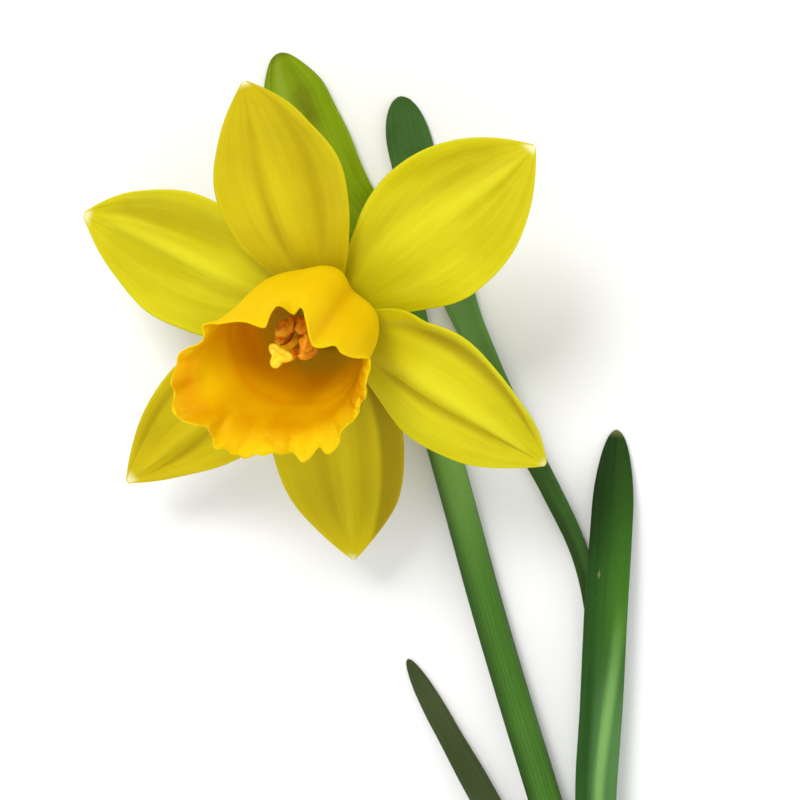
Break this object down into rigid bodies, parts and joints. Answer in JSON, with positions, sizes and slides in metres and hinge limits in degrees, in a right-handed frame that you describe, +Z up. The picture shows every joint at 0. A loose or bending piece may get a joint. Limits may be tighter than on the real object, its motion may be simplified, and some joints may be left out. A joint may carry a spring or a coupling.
{
  "type": "daffodil flower",
  "caption": "Yellow trumpet daffodil lying face up: six pointed petals round a frilled cup, with stamens, stigma, bent stalk, papery bract, long stem and strap leaves.",
  "frame": {"origin": "on the surface it lies on, under the middle of the whole plant's box", "axes": "+Z up from the surface, +Y from the stem's cut end towards the flower, +X to the right of that, seen from above"},
  "size_m": [0.0743, 0.138, 0.0471],
  "materials": {
    "petal": "soft satin, parallel veins",
    "corona": "soft satin, pleated",
    "stem_green": "smooth, slightly waxy",
    "leaf_green": "smooth, waxy bloom",
    "leaf_dull": "dull, slightly waxy",
    "spathe": "thin, papery",
    "sheath": "thin, papery",
    "tube": "soft satin",
    "filament": "soft satin",
    "anther": "powdery",
    "stigma": "finely velvety"
  },
  "bodies": {
    "root": {"inner_petal_top": "petal", "inner_petal_right": "petal", "inner_petal_left": "petal", "outer_petal_right": "petal", "outer_petal_left": "petal", "outer_petal_bottom": "petal", "corona": "corona", "filament_1": "filament", "anther_1": "anther", "filament_2": "filament", "anther_2": "anther", "filament_3": "filament", "anther_3": "anther", "filament_4": "filament", "anther_4": "anther", "filament_5": "filament", "anther_5": "anther", "filament_6": "filament", "anther_6": "anther", "style": "stigma", "stigma": "stigma", "floral_tube": "tube", "ovary": "stem_green", "stem": "stem_green", "pedicel": "stem_green", "spathe": "spathe", "leaf_right": "leaf_green", "leaf_back": "leaf_green", "leaf_left": "leaf_dull", "basal_sheath": "sheath"}
  },
  "joints": []
}
